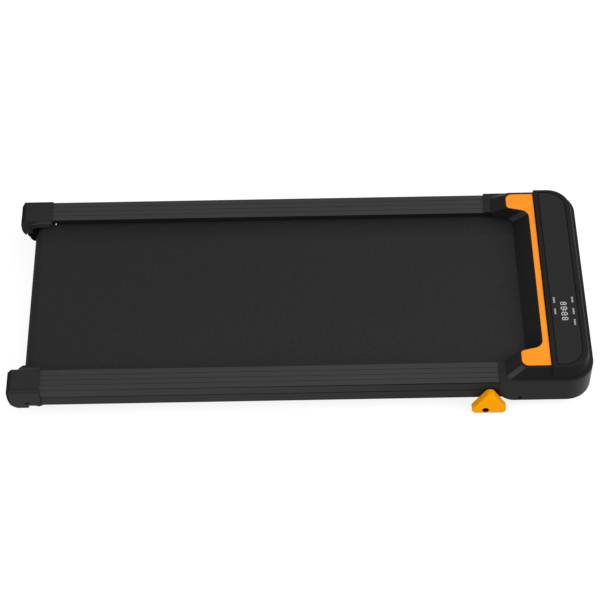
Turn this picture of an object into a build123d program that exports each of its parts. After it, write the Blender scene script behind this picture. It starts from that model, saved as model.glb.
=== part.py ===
"""Flat walking treadmill with a low motor hood, side rails and turnable incline feet.

Frame: millimetres, +X towards the motor hood, +Z up, floor at Z = 0, origin under the middle.
"Left" is +Y, the left hand of a person who walks towards the hood.
"""
import os
from math import cos, radians, sqrt, tan

from build123d import *

# Overall size and the walking gap
overall_length = 1202.5
belt_gap = 400.0
front_x = overall_length / 2
rear_x = -front_x

# General fits
fit_gap = 0.3
running_gap = 0.05
seat_gap = 0.02

# Side rails, an extruded channel open below
rail_width = 50.0
rail_top = 84.0
rail_height = 52.0
rail_plate = 3.0
rail_wall = 2.0
rail_lip_depth = 11.0
rail_groove_count = 3
rail_groove_width = 1.4
rail_groove_depth = 1.2
rail_band_groove = 2.0
rail_inner = belt_gap / 2
rail_outer = rail_inner + rail_width
rail_bottom = rail_top - rail_height

# Moulded sleeves of the end caps and the hood, which slip over the rail ends
sleeve_wall = 2.2
sleeve_top = rail_top + fit_gap + sleeve_wall
sleeve_outer = rail_outer + fit_gap + sleeve_wall

# Walking belt and rollers
roller_radius = 20.0
roller_wall = 3.0
roller_overhang = 4.0
belt_thickness = 1.7
belt_edge_gap = 4.0
belt_top = 74.0
rear_roller_inset = 54.0
front_roller_inset = 110.5
belt_width = belt_gap - 2 * belt_edge_gap
belt_inner_radius = roller_radius + fit_gap
belt_outer_radius = belt_inner_radius + belt_thickness
roller_z = belt_top - belt_outer_radius
rear_roller_x = rear_x + rear_roller_inset
front_roller_x = front_x - front_roller_inset
roller_half = belt_width / 2 + roller_overhang

# Roller axles and their ball bearings
axle_radius = 6.0
bearing_radius = 14.0
bearing_width = 8.0
axle_clearance = 2.0

# Welded frame
tube_width = 15.0
tube_height = 38.0
tube_wall = 1.5
tube_outer = rail_outer - rail_wall
tube_inner = tube_outer - tube_width
tube_top = rail_top - rail_plate
tube_bottom = tube_top - tube_height
tube_rear_inset = 16.0
tube_front_inset = 55.0
tube_rear_x = rear_x + tube_rear_inset
tube_front_x = front_x - tube_front_inset
cross_count = 4
cross_width = 30.0
cross_height = 12.0
cross_end_inset = 60.0

# Deck board on rubber cushions
deck_thickness = 14.0
deck_roller_gap = 2.5
deck_side_gap = 8.0
deck_top = belt_top - belt_thickness
deck_bottom = deck_top - deck_thickness
deck_rear_x = rear_roller_x + roller_radius + deck_roller_gap
deck_front_x = front_roller_x - roller_radius - deck_roller_gap - belt_thickness
cushion_height = 6.3
cushion_length = 40.0
cross_top = deck_bottom - cushion_height
cross_bottom = cross_top - cross_height
deck_screw_radius = 2.5
deck_screw_head = 5.0

# Steel plates that carry the roller axles, on the inner faces of the side tubes
bracket_thickness = 3.0
bracket_outer = tube_inner
bracket_inner = bracket_outer - bracket_thickness
bracket_margin = 22.0
axle_half = bracket_outer - fit_gap
deck_half = bracket_inner - deck_side_gap

# Rear end caps
cap_length = 68.0
cap_side_wall = 4.7
cap_bevel = 5.0
cap_inner_bevel = 1.5
cap_rear_run = 10.0
cap_rear_drop = 12.0
cap_corner = 6.0
cap_round_top = 60.0
cap_foot_z = 29.5
cap_lug_inset = 20.0
cap_lug_length = 23.0
cap_step = 7.0
cap_wall = 2.6
cap_arch_inset = 15.5
cap_arch_radius = 26.0
cap_arch_gap = 3.2
cap_slot_length = 9.0
cap_slot_height = 4.0
cap_slot_lift = 13.5
cap_slot_overhang = 2.5
cap_slot_depth = 2.5
cap_screen_gap = 1.5
cap_front_x = rear_x + cap_length
cap_inner = rail_inner - fit_gap - sleeve_wall
cap_outer = rail_outer + fit_gap + cap_side_wall
cap_arch_top = belt_top + cap_arch_gap
rail_rear_overlap = 12.0

# Canopy of each end cap over the belt's edge, and the finger guard behind the belt
canopy_reach = 12.0
canopy_lip = 1.4
canopy_round = 10.0
guard_root = 4.0
guard_reach = 21.8
guard_knee_run = 5.0
guard_knee_reach = 13.0
guard_belt_gap = 1.2
guard_wrap = 6.0
guard_drop = 21.0
guard_tip_drop = 8.0
guard_rise = 17.0

# Belt tension bolts and the cap screws, both along X
bolt_radius = 3.0
bolt_head_radius = 6.0
bolt_head_length = 6.0
bolt_length = 52.0
bolt_inset = 8.0
flange_width = 18.0
cap_screw_radius = 2.0
cap_screw_head = 4.0
cap_boss_radius = 5.0
cap_screw_lift = 17.0
flange_reach = 32.0
bolt_access = 1.0
flange_rear_x = rear_roller_x - flange_reach
bolt_y = bracket_inner - bolt_inset

# Rear rubber feet
rear_foot_radius = 11.5
rear_foot_flare = 0.8
rear_foot_inset = 58.5
rear_foot_side_inset = 31.0
rear_foot_x = rear_x + rear_foot_inset
rear_foot_y = rail_outer - rear_foot_side_inset
rear_foot_top = tube_bottom - bracket_thickness

# Turnable three-sided incline feet
foot_corner_spacing = 50.5
foot_corner_radius = 10.0
foot_thickness = 16.5
foot_edge_round = 4.0
foot_side_gap = 0.5
foot_inset = 213.7
foot_pivot_back = 7.4
pivot_z = 12.7
pivot_radius = 4.0
pivot_head_radius = 5.4
pivot_head_length = 4.0
pivot_recess_radius = 7.2
pivot_recess_depth = 9.5
pivot_nut_height = 6.5
foot_hub_radius = 9.0
foot_bracket_thickness = 5.0
foot_bracket_width = 36.0
foot_inner_y = sleeve_outer + foot_side_gap
foot_outer_y = foot_inner_y + foot_thickness
foot_x = front_x - foot_inset
pivot_x = foot_x - foot_pivot_back

# Motor hood: base with ledge, two covers, trim and console
hood_length = 194.5
hood_bottom = 22.5
hood_corner = 55.0
hood_sweep = 34.0
hood_tab = 13.0
hood_ledge = 6.0
hood_ledge_inner = 15.0
hood_wall = 2.5
rear_cover_top = 110.0
front_cover_top = 114.0
cover_seam_inset = 88.5
rear_cover_lean = 12.0
front_cover_lean = 9.0
arm_slope_run = 30.0
arm_corner = 14.0
front_lean = 6.0
recess_flare = 13.3
recess_slope_run = 31.0
recess_slope_inset = 136.0
recess_fillet = 12.0
recess_belt_gap = 1.8
cover_top_wall = 4.5
cover_edge_round = 4.0
hood_rear_x = front_x - hood_length
arm_rear_x = hood_rear_x + hood_tab
seam_x = front_x - cover_seam_inset
cover_half = sleeve_outer - hood_ledge
rail_front_overlap = 16.0
rail_front_x = hood_rear_x + rail_front_overlap

# Orange trim let into the rear cover
trim_thickness = 2.5
trim_depth = 1.7
trim_margin = 2.2
trim_side_margin = 6.0
trim_strip = 12.3
trim_outer_round = 14.0
trim_inner_round = 8.0
trim_crook_round = 20.0

# Console panel let into the front cover
panel_depth = 2.2
panel_thickness = 2.0
panel_groove = 2.0
panel_rear_margin = 9.0
panel_front_margin = 10.5
panel_side_margin = 7.5
panel_corner = 42.0
window_length = 20.0
window_width = 64.0
window_side_inset = 160.5
window_front_inset = 42.0
window_board_margin = 8.0
window_front_x = front_x - window_front_inset
window_y = window_side_inset - sleeve_outer

# Bottom pan under the hood
pan_thickness = 2.2
pan_rear_inset = 132.0
pan_post_radius = 6.0
pan_screw_radius = 2.0
vent_count = 9
vent_length = 46.0
vent_width = 4.0
vent_pitch = 11.0

# Transport wheels behind the skirt
wheel_radius = 11.0
wheel_width = 11.0
wheel_inset = 150.5
wheel_z = 31.5
wheel_pin_radius = 3.4
wheel_boss_radius = 6.0
wheel_side_gap = 1.2
wheel_pin_recess = 7.0
wheel_x = front_x - wheel_inset
wheel_outer_y = bracket_outer + wheel_side_gap + wheel_width

# Motor, pulleys and drive belt
motor_inset = 46.5
motor_z = 71.5
motor_radius = 27.0
motor_wall = 2.5
motor_length = 130.0
motor_end = 10.0
motor_pulley_gap = 7.0
motor_shaft_radius = 5.0
armature_radius = 19.0
armature_length = 80.0
motor_bearing_radius = 9.0
pulley_width = 11.0
pulley_flange = 2.0
pulley_flange_height = 2.5
roller_pulley_radius = 20.0
motor_pulley_radius = 10.5
drive_belt_thickness = 2.2
motor_plate_thickness = 3.0
motor_plate_rear_inset = 72.5
motor_plate_front_inset = 12.5
motor_plate_side_inset = 37.5
saddle_width = 16.0
saddle_height = 9.0
motor_bolt_radius = 2.5
pulley_inner_y = -roller_half - pulley_flange
motor_outer_y = pulley_inner_y + motor_pulley_gap
motor_x = front_x - motor_inset
motor_plate_rear = front_x - motor_plate_rear_inset
motor_plate_front = front_x - motor_plate_front_inset
motor_plate_half = sleeve_outer - motor_plate_side_inset
motor_plate_bottom = tube_bottom - motor_plate_thickness

# Control board
board_thickness = 1.6
board_lift = 6.0
board_length = 46.0
board_width = 105.0
board_inset = 40.5
board_y = 62.0
standoff_radius = 3.0
heatsink_fins = 7
heatsink_depth = 22.5
heatsink_height = 23.0
heatsink_foot = 3.0
heatsink_fin = 1.5
capacitor_radius = 7.5
capacitor_height = 23.0
board_x = front_x - board_inset
board_top = tube_bottom + board_lift + board_thickness

# Mains inlet and rocker switch in the front wall
switch_side_inset = 66.5
power_pitch = 38.0
power_z = 58.0
inlet_width = 28.0
inlet_height = 21.0
inlet_depth = 22.0
inlet_flange = 3.0
switch_width = 14.0
switch_height = 21.0
switch_depth = 18.0
rocker_tilt = 8.0
rocker_depth = 6.0
rocker_side_gap = 0.6
rocker_end_gap = 1.2
blade_thickness = 1.8
blade_height = 4.6
blade_pitch = 7.0
blade_length = 11.0
switch_y = sleeve_outer - switch_side_inset
inlet_y = switch_y - power_pitch
rocker_pivot_x = front_x - rocker_depth


def block(x0, x1, y0, y1, z0, z1):
    """Box between two corners."""
    middle = Pos((x0 + x1) / 2, (y0 + y1) / 2, (z0 + z1) / 2)
    return middle * Box(abs(x1 - x0), abs(y1 - y0), abs(z1 - z0))


def rod_x(radius, x0, x1, y, z):
    """Round bar along X."""
    return Pos((x0 + x1) / 2, y, z) * Rot(0, 90, 0) * Cylinder(radius, abs(x1 - x0))


def rod_y(radius, x, z, y0, y1):
    """Round bar along Y."""
    return Pos(x, (y0 + y1) / 2, z) * Rot(90, 0, 0) * Cylinder(radius, abs(y1 - y0))


def rod_z(radius, x, y, z0, z1):
    """Round bar along Z."""
    return Pos(x, y, (z0 + z1) / 2) * Cylinder(radius, abs(z1 - z0))


def ring_y(outer, inner, x, z, y0, y1):
    """Round tube along Y."""
    return rod_y(outer, x, z, y0, y1) - rod_y(inner, x, z, y0, y1)


def across(face, y0, y1):
    """Extrude a face drawn in X and Z from y0 to y1."""
    return extrude(Plane.XZ.offset(-y0) * face, amount=y1 - y0, dir=(0, 1, 0))


def upward(face, z0, z1):
    """Extrude a face drawn in X and Y from z0 to z1."""
    return extrude(Plane.XY.offset(z0) * face, amount=z1 - z0)


def forward(face, x0, x1):
    """Extrude a face drawn in Y and Z from x0 to x1."""
    return extrude(Plane.YZ.offset(x0) * face, amount=x1 - x0)


def outline(*points):
    """Closed straight-sided face."""
    return make_face(Polyline(*points, close=True))


def right_hand(shape):
    """The right-hand (-Y) copy of a left-hand piece."""
    return mirror(shape, about=Plane.XZ)


def both(shape):
    """A left-hand piece and its right-hand copy, as separate solids."""
    return Compound(children=[*shape.solids(), *right_hand(shape).solids()])


def group(shapes):
    """Separate solids that share one node."""
    return Compound(children=[solid for shape in shapes for solid in shape.solids()])


def side_tube():
    """Rectangular frame tube under the left rail."""
    tube = block(tube_rear_x, tube_front_x, tube_inner, tube_outer, tube_bottom, tube_top)
    bore = block(
        tube_rear_x, tube_front_x,
        tube_inner + tube_wall, tube_outer - tube_wall,
        tube_bottom + tube_wall, tube_top - tube_wall,
    )
    return tube - bore


def cross_places():
    """X positions of the cross members, evenly spread under the deck."""
    first = deck_rear_x + cross_end_inset
    step = (deck_front_x - cross_end_inset - first) / (cross_count - 1)
    return [first + step * i for i in range(cross_count)]


def cross_members():
    """Flat tubes welded between the two side tubes."""
    members = []
    for x in cross_places():
        x0 = x - cross_width / 2
        x1 = x + cross_width / 2
        tube = block(x0, x1, -tube_inner, tube_inner, cross_bottom, cross_top)
        bore = block(
            x0 + tube_wall, x1 - tube_wall, -tube_inner, tube_inner,
            cross_bottom + tube_wall, cross_top - tube_wall,
        )
        members.append(tube - bore)
    return group(members)


def cushion_y():
    """Middle of a deck cushion, between the belt's edge and the deck's edge."""
    return (belt_width / 2 + deck_half) / 2


def deck_board():
    """Walking deck with eased ends, drilled for its screws."""
    deck = block(deck_rear_x, deck_front_x, -deck_half, deck_half, deck_bottom, deck_top)
    deck = chamfer(deck.edges().filter_by(Axis.Y).group_by(Axis.Z)[-1], deck_thickness / 4)
    for x in cross_places():
        for y in (-cushion_y(), cushion_y()):
            hole = rod_z(deck_screw_radius + fit_gap, x, y, deck_bottom, deck_top)
            head = rod_z(deck_screw_head + fit_gap, x, y, deck_top - deck_screw_radius, deck_top)
            deck = deck - hole - head
    return deck


def deck_cushions():
    """Rubber pads between the cross members and the deck."""
    pads = []
    for x in cross_places():
        for side in (-1, 1):
            y = side * (deck_half - cushion_length / 2)
            pad = block(
                x - cross_width / 2, x + cross_width / 2,
                y - cushion_length / 2, y + cushion_length / 2, cross_top, deck_bottom,
            )
            hole = rod_z(deck_screw_radius + fit_gap, x, side * cushion_y(), cross_top, deck_bottom)
            pads.append(pad - hole)
    return group(pads)


def deck_screws():
    """Screws through the deck that end on the cross members."""
    screws = []
    for x in cross_places():
        for y in (-cushion_y(), cushion_y()):
            shank = rod_z(deck_screw_radius, x, y, cross_top, deck_top - deck_screw_radius)
            head = rod_z(deck_screw_head, x, y, deck_top - deck_screw_radius, deck_top - fit_gap)
            screws.append(shank + head)
    return group(screws)


def walking_belt():
    """Endless belt round both rollers."""
    middle = (front_roller_x + rear_roller_x) / 2
    span = front_roller_x - rear_roller_x
    outer = Pos(middle, roller_z) * SlotCenterToCenter(span, 2 * belt_outer_radius)
    inner = Pos(middle, roller_z) * SlotCenterToCenter(span, 2 * belt_inner_radius)
    return across(outer - inner, -belt_width / 2, belt_width / 2)


def side_rail():
    """Left rail: grooved top plate, outer wall with two bands, short inner lip."""
    section = outline(
        (rail_inner, rail_top),
        (rail_outer, rail_top),
        (rail_outer, rail_bottom),
        (rail_outer - rail_wall, rail_bottom),
        (rail_outer - rail_wall, rail_top - rail_plate),
        (rail_inner + rail_wall, rail_top - rail_plate),
        (rail_inner + rail_wall, rail_top - rail_lip_depth),
        (rail_inner, rail_top - rail_lip_depth),
    )
    pitch = rail_width / (rail_groove_count + 1)
    for i in range(rail_groove_count):
        y = rail_inner + pitch * (i + 1)
        section = section - outline(
            (y - rail_groove_width / 2, rail_top),
            (y + rail_groove_width / 2, rail_top),
            (y, rail_top - rail_groove_depth),
        )
    for z in (rail_top - rail_band_groove, rail_top - rail_height / 2):
        section = section - outline(
            (rail_outer, z - rail_band_groove / 2),
            (rail_outer, z + rail_band_groove / 2),
            (rail_outer - rail_wall / 2, z),
        )
    return forward(section, cap_front_x - rail_rear_overlap, rail_front_x)


def cap_round_radius():
    """Radius of the cap's rounded lower rear, upright where it leaves the rear wall."""
    drop = cap_round_top - cap_foot_z
    return (cap_lug_inset ** 2 + drop ** 2) / (2 * cap_lug_inset)


def cap_side():
    """Side outline of an end cap: rounded lower rear, lug and stepped underside."""
    toe_x = rear_x + cap_lug_inset
    step_x = toe_x + cap_lug_length
    bend = TangentArc((rear_x, cap_round_top), (toe_x, cap_foot_z), tangent=(0, -1))
    rest = Polyline(
        (toe_x, cap_foot_z),
        (step_x, cap_foot_z),
        (step_x, cap_foot_z + cap_step),
        (cap_front_x, cap_foot_z + cap_step),
        (cap_front_x, sleeve_top),
        (rear_x + cap_rear_run, sleeve_top),
        (rear_x, sleeve_top - cap_rear_drop),
        (rear_x, cap_round_top),
    )
    return make_face([bend.edge(), *rest.edges()])


def cap_hollow_side():
    """Side outline of the space inside an end cap, open below and in front."""
    radius = cap_round_radius() - cap_wall
    toe_x = rear_x + cap_round_radius() - sqrt(radius ** 2 - (cap_round_top - cap_foot_z) ** 2)
    back_x = rear_x + cap_wall
    ceiling = rail_top + fit_gap
    slant = cap_rear_run / cap_rear_drop
    bevel_shift = cap_wall * sqrt(1 + slant ** 2)
    bevel_low = sleeve_top - cap_rear_drop
    ceiling_x = rear_x + bevel_shift + slant * (ceiling - bevel_low)
    knee_z = bevel_low - (bevel_shift - cap_wall) / slant
    bend = TangentArc((back_x, cap_round_top), (toe_x, cap_foot_z), tangent=(0, -1))
    rest = Polyline(
        (toe_x, cap_foot_z), (toe_x, 0), (cap_front_x, 0),
        (cap_front_x, ceiling), (ceiling_x, ceiling), (back_x, knee_z), (back_x, cap_round_top),
    )
    return make_face([bend.edge(), *rest.edges()])


def cap_plan():
    """Plan outline of the left end cap with its cut outer rear corner."""
    return outline(
        (rear_x + cap_corner, cap_outer),
        (rear_x, cap_outer - cap_corner),
        (rear_x, cap_inner),
        (cap_front_x, cap_inner),
        (cap_front_x, cap_outer),
    )


def cap_section():
    """Cross section of the left end cap, bevelled along both top edges."""
    return outline(
        (cap_inner, 0),
        (cap_outer, 0),
        (cap_outer, sleeve_top - cap_bevel),
        (cap_outer - cap_bevel, sleeve_top),
        (cap_inner + cap_inner_bevel, sleeve_top),
        (cap_inner, sleeve_top - cap_inner_bevel),
    )


def cap_arch(margin):
    """Side outline of the opening for the belt in the cap's inner wall, widened by a margin."""
    x0 = rear_x + cap_arch_inset - margin
    top = cap_arch_top + margin
    arch = outline((x0, 0), (cap_front_x, 0), (cap_front_x, top), (x0, top))
    corner = arch.vertices().sort_by_distance((x0, top))[0]
    return fillet(corner, cap_arch_radius + margin)


def cap_canopy():
    """Sloped canopy of the left end cap round the belt's opening, rounded in plan at its front."""
    edge_y = cap_inner - canopy_reach
    rise = sleeve_top - cap_inner_bevel - cap_arch_top
    root = Plane.XZ.offset(-cap_inner) * cap_arch(rise)
    edge = Plane.XZ.offset(-edge_y) * cap_arch(canopy_lip)
    canopy = loft([root, edge], ruled=True) - across(cap_arch(0), edge_y, cap_inner)
    plan = outline((rear_x, edge_y), (cap_front_x, edge_y), (cap_front_x, cap_inner), (rear_x, cap_inner))
    corner = plan.vertices().sort_by_distance((cap_front_x, edge_y))[0]
    plan = fillet(corner, canopy_round)
    return canopy & across(cap_side(), edge_y, cap_inner) & upward(plan, 0, sleeve_top)


def finger_guard():
    """Guard of the left end cap, swept in plan, that follows the belt round the rear roller."""
    root_x = rear_x + cap_arch_inset
    face_x = rear_roller_x - belt_outer_radius - guard_belt_gap
    wrap_x = face_x + guard_wrap
    tip_y = cap_inner - guard_reach
    wall_y = rail_inner - fit_gap
    top = roller_z + guard_rise
    knee = (root_x + guard_knee_run, cap_inner - guard_knee_reach)
    sweep = ThreePointArc((root_x, cap_inner), knee, (face_x, tip_y))
    rest = Polyline(
        (face_x, tip_y), (wrap_x, tip_y), (wrap_x, wall_y),
        (root_x - guard_root, wall_y), (root_x - guard_root, cap_inner), (root_x, cap_inner),
    )
    section = outline(
        (tip_y, roller_z - guard_tip_drop), (wall_y, roller_z - guard_drop), (wall_y, top), (tip_y, top)
    )
    guard = upward(make_face([sweep.edge(), *rest.edges()]), 0, top)
    guard = guard & forward(section, root_x - guard_root, wrap_x) & across(cap_side(), tip_y, wall_y)
    return guard - rod_y(belt_outer_radius + guard_belt_gap, rear_roller_x, roller_z, tip_y, wall_y)


def cap_hollow():
    """Space inside the left end cap, less the screen that hides the roller's end."""
    wall_y = rail_inner - fit_gap
    screen_y = roller_half + cap_screen_gap
    hollow = across(cap_hollow_side(), wall_y, rail_outer + fit_gap)
    screen = block(
        rear_x, rear_roller_x - 2 * axle_radius, screen_y, screen_y + cap_wall, 0, sleeve_top
    )
    return hollow - screen


def end_cap():
    """Moulded left end cap, open below, with its arch, canopy, guard, slot and screw boss."""
    screw_z = roller_z + cap_screw_lift
    cap = across(cap_side(), cap_inner, cap_outer)
    cap = cap & upward(cap_plan(), 0, sleeve_top)
    cap = cap & forward(cap_section(), rear_x, cap_front_x)
    cap = cap - cap_hollow()
    cap = cap - across(cap_arch(0), cap_inner, rail_inner - fit_gap)
    cap = cap + cap_canopy() + finger_guard()
    slot_x = rear_x + cap_lug_inset + cap_lug_length + cap_slot_overhang - cap_slot_length
    slot_z = cap_foot_z + cap_slot_lift
    cap = cap - block(
        slot_x, slot_x + cap_slot_length, cap_outer - cap_slot_depth, cap_outer,
        slot_z, slot_z + cap_slot_height,
    )
    cap = cap - rod_x(bolt_head_radius + bolt_access, rear_x, flange_rear_x, bolt_y, roller_z)
    cap = cap + rod_x(cap_boss_radius, rear_x + cap_wall, flange_rear_x, bolt_y, screw_z)
    pilot = rod_x(cap_screw_radius + fit_gap, rear_x, flange_rear_x, bolt_y, screw_z)
    counterbore = rod_x(cap_screw_head + fit_gap, rear_x, rear_x + cap_wall, bolt_y, screw_z)
    return cap - pilot - counterbore


def cap_screws():
    """One screw from the rear into each roller bracket."""
    z = roller_z + cap_screw_lift
    head_x = rear_x + cap_wall
    shank = rod_x(cap_screw_radius, head_x, flange_rear_x, bolt_y, z)
    head = rod_x(cap_screw_head, rear_x, head_x, bolt_y, z)
    return both(shank + head)


def rear_bracket():
    """Left rear axle plate with its adjusting slot, bent flange and the tab of the rear foot."""
    low = rear_foot_top
    high = roller_z + bracket_margin
    plate = block(
        flange_rear_x, rear_roller_x + 2 * bracket_margin, bracket_inner, bracket_outer, low, high
    )
    flange = block(
        flange_rear_x, flange_rear_x + bracket_thickness,
        bracket_inner - flange_width, bracket_inner, low, high,
    )
    tab = block(
        rear_foot_x - rear_foot_radius, rear_foot_x + rear_foot_radius,
        rear_foot_y - rear_foot_radius, bracket_inner, low, tube_bottom,
    )
    slot = across(
        Pos(rear_roller_x, roller_z) * SlotCenterToCenter(axle_radius, 2 * (axle_radius + running_gap)),
        bracket_inner, bracket_outer,
    )
    hole = rod_x(bolt_radius + fit_gap, flange_rear_x, flange_rear_x + bracket_thickness, bolt_y, roller_z)
    return plate + flange + tab - slot - hole


def rear_axle():
    """Fixed rear axle, cross-drilled near each end for the tension bolts."""
    axle = rod_y(axle_radius, rear_roller_x, roller_z, -axle_half, axle_half)
    for y in (-bolt_y, bolt_y):
        axle = axle - rod_x(
            bolt_radius + fit_gap, rear_roller_x - axle_radius, rear_roller_x + axle_radius, y, roller_z
        )
    return axle


def tension_bolt():
    """Left belt tension bolt with a hexagon socket."""
    seat_x = flange_rear_x - fit_gap
    shank = rod_x(bolt_radius, seat_x, seat_x + bolt_length, bolt_y, roller_z)
    head = rod_x(bolt_head_radius, seat_x - bolt_head_length, seat_x, bolt_y, roller_z)
    socket = forward(
        Pos(bolt_y, roller_z) * RegularPolygon(bolt_radius, 6),
        seat_x - bolt_head_length, seat_x - bolt_head_length / 2,
    )
    return shank + head - socket


def roller(x):
    """Roller tube with a bearing seat turned into each end."""
    tube = ring_y(roller_radius, roller_radius - roller_wall, x, roller_z, -roller_half, roller_half)
    plugs = []
    for side in (-1, 1):
        end = side * roller_half
        inner_end = side * (roller_half - 2 * bearing_width)
        bore = axle_radius + axle_clearance
        plug = ring_y(roller_radius - roller_wall, bore, x, roller_z, inner_end, end)
        seat = rod_y(bearing_radius, x, roller_z, end - side * bearing_width, end)
        plugs.append(plug - seat)
    return tube + plugs


def roller_bearings(x):
    """One ball bearing in each end of a roller."""
    bearings = []
    for side in (-1, 1):
        end = side * roller_half
        bearings.append(ring_y(
            bearing_radius - seat_gap, axle_radius + running_gap, x, roller_z,
            end - side * bearing_width, end,
        ))
    return group(bearings)


def front_bracket():
    """Left front plate that holds the roller axle and the transport wheel's pin."""
    high = roller_z + bracket_margin
    waist = roller_z - bracket_margin / 2
    low = wheel_z - wheel_boss_radius
    rear = wheel_x - bracket_margin / 2
    front = front_roller_x + bracket_margin
    plate = across(outline(
        (rear, low), (wheel_x + bracket_margin / 2, low),
        (front_roller_x - bracket_margin, waist), (front, waist), (front, high), (rear, high),
    ), bracket_inner, bracket_outer)
    axle_hole = rod_y(axle_radius + running_gap, front_roller_x, roller_z, bracket_inner, bracket_outer)
    pin_hole = rod_y(wheel_pin_radius + running_gap, wheel_x, wheel_z, bracket_inner, bracket_outer)
    return plate - axle_hole - pin_hole


def front_axle():
    """Fixed front axle."""
    return rod_y(axle_radius, front_roller_x, roller_z, -axle_half, axle_half)


def grooved_pulley(radius, x, z, bore):
    """Flanged pulley with shallow rings for a ribbed belt."""
    y0 = pulley_inner_y - pulley_width
    y1 = pulley_inner_y
    pulley = rod_y(radius, x, z, y0, y1)
    pulley = pulley + rod_y(radius + pulley_flange_height, x, z, y0, y0 + pulley_flange)
    pulley = pulley + rod_y(radius + pulley_flange_height, x, z, y1 - pulley_flange, y1)
    return pulley - rod_y(bore, x, z, y0, y1)


def roller_pulley():
    """Large pulley fixed to the right end of the front roller by a short hub."""
    bore = axle_radius + axle_clearance
    hub = ring_y(bearing_radius, bore, front_roller_x, roller_z, pulley_inner_y, -roller_half)
    return grooved_pulley(roller_pulley_radius, front_roller_x, roller_z, bore) + hub


def motor_pulley():
    """Small pulley on the motor shaft."""
    return grooved_pulley(motor_pulley_radius, motor_x, motor_z, motor_shaft_radius + seat_gap)


def drive_belt():
    """Ribbed belt from the motor pulley to the roller pulley."""
    def loop(clearance):
        big = Pos(front_roller_x, roller_z) * Circle(roller_pulley_radius + clearance)
        small = Pos(motor_x, motor_z) * Circle(motor_pulley_radius + clearance)
        return make_hull([*big.edges(), *small.edges()])

    band = loop(fit_gap + drive_belt_thickness) - loop(fit_gap)
    y0 = pulley_inner_y - pulley_width + pulley_flange + fit_gap
    y1 = pulley_inner_y - pulley_flange - fit_gap
    return across(band, y0, y1)


def motor_can_range():
    """Y range of the motor can between its two end bells."""
    y0 = motor_outer_y + motor_end
    return y0, y0 + motor_length


def motor_can():
    """Round steel motor can."""
    y0, y1 = motor_can_range()
    return ring_y(motor_radius, motor_radius - motor_wall, motor_x, motor_z, y0, y1)


def motor_end_bells():
    """Cast end bells, each with a bearing pocket."""
    y0, y1 = motor_can_range()
    bells = []
    for inner, outer in ((y0, y0 - motor_end), (y1, y1 + motor_end)):
        bell = rod_y(motor_radius, motor_x, motor_z, inner, outer)
        bell = bell - rod_y(motor_bearing_radius, motor_x, motor_z, inner, (inner + outer) / 2)
        bells.append(bell - rod_y(motor_shaft_radius + fit_gap, motor_x, motor_z, inner, outer))
    return group(bells)


def motor_bearings():
    """Ball bearings in the end bells."""
    y0, y1 = motor_can_range()
    rings = []
    for inner, pocket in ((y0, y0 - motor_end / 2), (y1, y1 + motor_end / 2)):
        rings.append(ring_y(
            motor_bearing_radius - seat_gap, motor_shaft_radius + running_gap,
            motor_x, motor_z, inner, pocket,
        ))
    return group(rings)


def motor_shaft():
    """Motor shaft with its armature."""
    y0, y1 = motor_can_range()
    shaft = rod_y(
        motor_shaft_radius, motor_x, motor_z,
        pulley_inner_y - pulley_width, y1 + motor_end,
    )
    middle = (y0 + y1) / 2
    core = rod_y(
        armature_radius, motor_x, motor_z, middle - armature_length / 2, middle + armature_length / 2
    )
    return shaft + core


def motor_plate():
    """Sheet steel plate under the motor, welded below the side tubes."""
    low = motor_plate_bottom
    wide = block(motor_plate_rear, tube_front_x, -tube_outer, tube_outer, low, tube_bottom)
    narrow = block(tube_front_x, motor_plate_front, -motor_plate_half, motor_plate_half, low, tube_bottom)
    plate = wide + narrow
    for x, y in motor_bolt_places():
        plate = plate - rod_z(motor_bolt_radius + fit_gap, x, y, low, tube_bottom)
    for x, y in pan_screw_places():
        plate = plate - rod_z(pan_screw_radius + fit_gap, x, y, low, tube_bottom)
    return plate


def saddle_places():
    """Middle Y of the two motor saddles."""
    y0, y1 = motor_can_range()
    return [y0 + saddle_width, y1 - saddle_width]


def motor_bolt_places():
    """Bolt positions of the motor saddles."""
    reach = motor_radius - saddle_width / 2
    return [(motor_x + side * reach, y) for y in saddle_places() for side in (-1, 1)]


def motor_saddles():
    """Two cradles between the motor can and the motor plate."""
    saddles = []
    for y in saddle_places():
        saddle = block(
            motor_x - motor_radius, motor_x + motor_radius,
            y - saddle_width / 2, y + saddle_width / 2, tube_bottom, tube_bottom + saddle_height,
        )
        saddles.append(saddle - rod_y(
            motor_radius + seat_gap, motor_x, motor_z, y - saddle_width, y + saddle_width
        ))
    cradle = group(saddles)
    for x, y in motor_bolt_places():
        cradle = cradle - rod_z(motor_bolt_radius + fit_gap, x, y, tube_bottom, motor_z)
    return cradle


def motor_bolts():
    """Bolts through the motor saddles and the plate."""
    low = motor_plate_bottom
    tip = tube_bottom + saddle_height / 2
    bolts = []
    for x, y in motor_bolt_places():
        head = rod_z(2 * motor_bolt_radius, x, y, low - 2 * motor_bolt_radius, low)
        bolts.append(rod_z(motor_bolt_radius, x, y, low, tip) + head)
    return group(bolts)


def hood_plan(inset, x0):
    """Plan outline of the hood from x0 to the front, drawn in by an inset."""
    front = front_x - inset
    half = sleeve_outer - inset
    plan = outline((x0, -half), (front, -half), (front, half), (x0, half))
    corners = plan.vertices().group_by(Axis.X)[-1]
    return fillet(corners, hood_corner - inset)


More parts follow.
